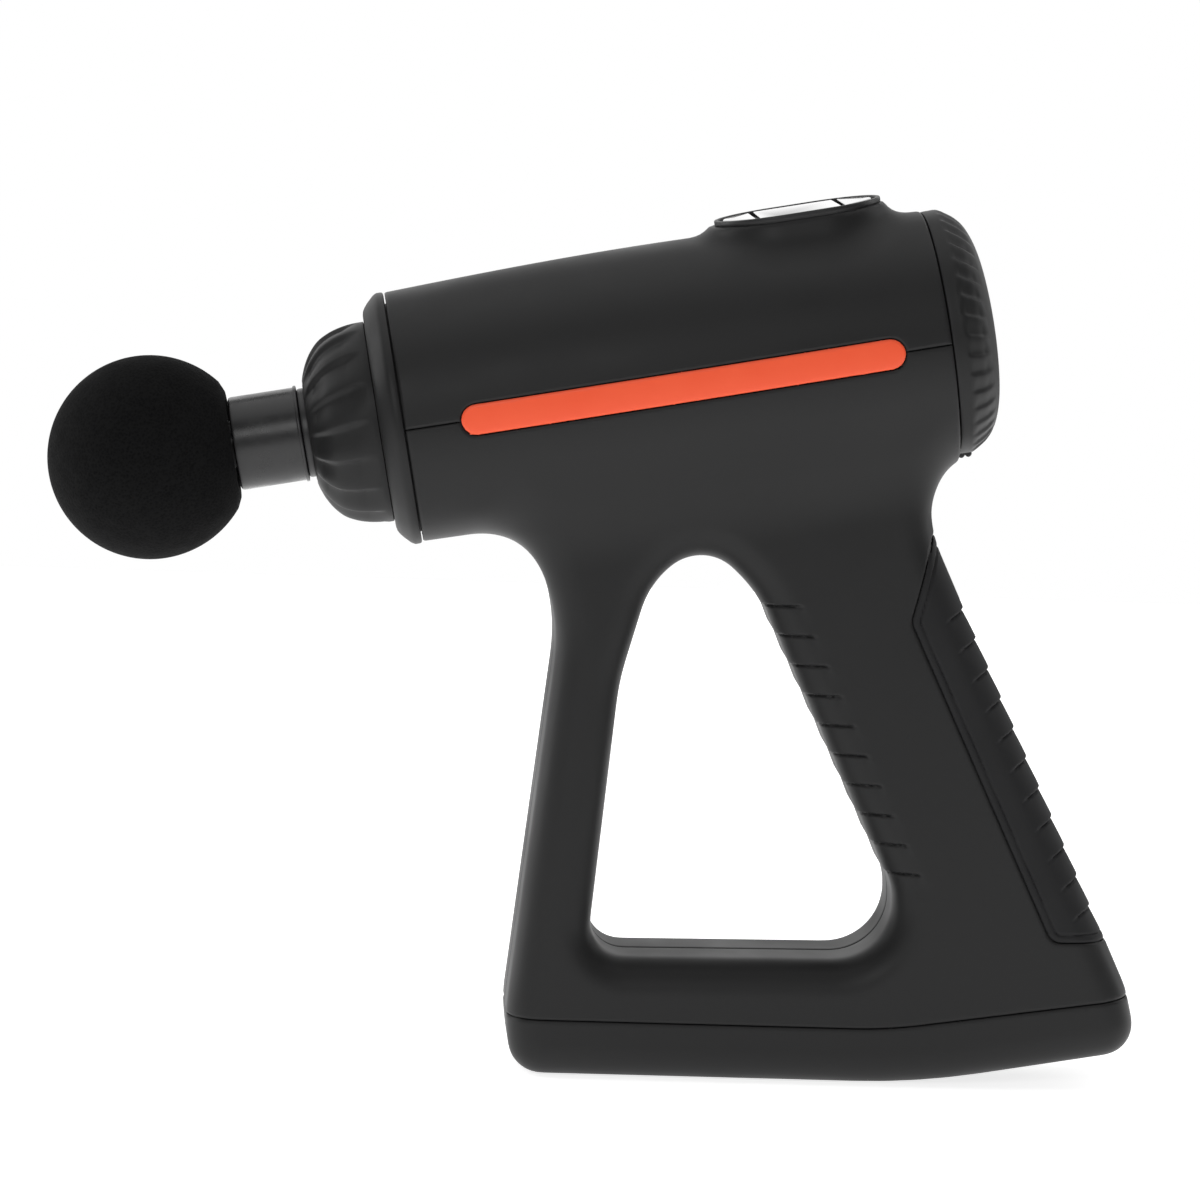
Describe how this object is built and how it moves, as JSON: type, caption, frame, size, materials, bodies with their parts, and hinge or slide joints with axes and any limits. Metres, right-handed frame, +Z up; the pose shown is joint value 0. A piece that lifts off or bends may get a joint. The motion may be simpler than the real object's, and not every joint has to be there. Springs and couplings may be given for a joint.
{
  "type": "massage gun",
  "caption": "Percussion massage gun: tilted barrel with a domed nose and foam ball head on a triangular handle with a finger opening and a flat battery base.",
  "frame": {"origin": "centre of the object's footprint box, on the surface that it stands on", "axes": "+X towards the back of the handle, the massage head points to -X; +Z up; +Y towards the right-hand shell"},
  "size_m": [0.2764, 0.0658, 0.2218],
  "materials": {
    "soft_touch_black": "soft-touch matte black",
    "grip_rubber": "moulded matte rubber",
    "stripe_orange": "satin orange",
    "bezel_satin": "satin black",
    "panel_glass": "gloss smoked acrylic",
    "key_gloss": "gloss black",
    "circuit_board": "green solder mask",
    "cell_wrap": "shrink-wrapped steel can",
    "grey_plastic": "plain moulded",
    "sleeve_plastic": "acetal",
    "cast_aluminium": "fine cast",
    "stator_copper": "enamelled winding",
    "steel": "ground",
    "black_steel": "black oxide",
    "damper_rubber": "plain",
    "switch_plastic": "satin black",
    "stem_gloss": "polished black",
    "ball_foam": "fine closed-cell foam"
  },
  "bodies": {
    "housing": {"top_shell": "soft_touch_black", "left_shell": "soft_touch_black", "right_shell": "soft_touch_black", "base_cover": "soft_touch_black", "front_collar": "soft_touch_black", "nose_dome": "soft_touch_black", "rear_cap": "soft_touch_black", "rear_grip_pad": "grip_rubber", "stripe_left": "stripe_orange", "stripe_right": "stripe_orange", "panel_bezel": "bezel_satin", "display_lens": "panel_glass", "display_board": "circuit_board", "control_board": "circuit_board", "battery_cell_1": "cell_wrap", "battery_cell_2": "cell_wrap", "battery_cell_3": "cell_wrap", "battery_cell_4": "cell_wrap", "cell_cradle": "grey_plastic", "battery_board": "circuit_board", "chassis": "cast_aluminium", "stator": "stator_copper", "motor_bearing": "steel", "guide_sleeve": "sleeve_plastic", "front_damper": "damper_rubber", "rear_damper": "damper_rubber", "switch_body": "switch_plastic", "charge_jack": "switch_plastic", "shell_screw_1": "black_steel", "shell_screw_2": "black_steel", "shell_screw_3": "black_steel", "shell_screw_4": "black_steel", "shell_screw_5": "black_steel"},
    "crank": {"rotor_bell": "steel", "motor_shaft": "steel", "crank_disc": "steel"},
    "piston": {"piston": "cast_aluminium", "wrist_pin": "steel"},
    "rod": {"connecting_rod": "cast_aluminium", "rod_bearing": "steel", "crank_pin": "steel"},
    "head": {"attachment_stem": "stem_gloss", "stem_o_ring": "damper_rubber", "foam_ball": "ball_foam"},
    "front_key": {"key_front": "key_gloss"},
    "rear_key": {"key_rear": "key_gloss"},
    "switch": {"power_switch": "switch_plastic"}
  },
  "joints": [
    {"name": "crank_turn", "type": "hinge", "parent": "housing", "child": "crank", "pos_m": [-0.01232, 0, 0.16994], "axis": [0, 1, 0], "range_deg": [0, 180]},
    {"name": "piston_stroke", "type": "slide", "parent": "housing", "child": "piston", "axis": [-0.9819, 0, -0.1893], "range_m": [0, 0.012]},
    {"name": "rod_swing", "type": "hinge", "parent": "piston", "child": "rod", "pos_m": [-0.03982, 0, 0.16464], "axis": [0, 1, 0], "range_deg": [-10.2, 10.2]},
    {"name": "head_pull_off", "type": "slide", "parent": "piston", "child": "head", "axis": [-0.9819, 0, -0.1893], "range_m": [0, 0.026]},
    {"name": "front_key_press", "type": "slide", "parent": "housing", "child": "front_key", "axis": [0.1893, 0, -0.9819], "range_m": [0, 0.0006], "stiffness_N_per_m": 600},
    {"name": "rear_key_press", "type": "slide", "parent": "housing", "child": "rear_key", "axis": [0.1893, 0, -0.9819], "range_m": [0, 0.0006], "stiffness_N_per_m": 600},
    {"name": "power_switch_slide", "type": "slide", "parent": "housing", "child": "switch", "axis": [0, 1, 0], "range_m": [0, 0.0025]}
  ],
  "couplings": [
    {"joint": "crank_turn", "follows": "piston_stroke", "rad_per_m": 261.8}
  ]
}
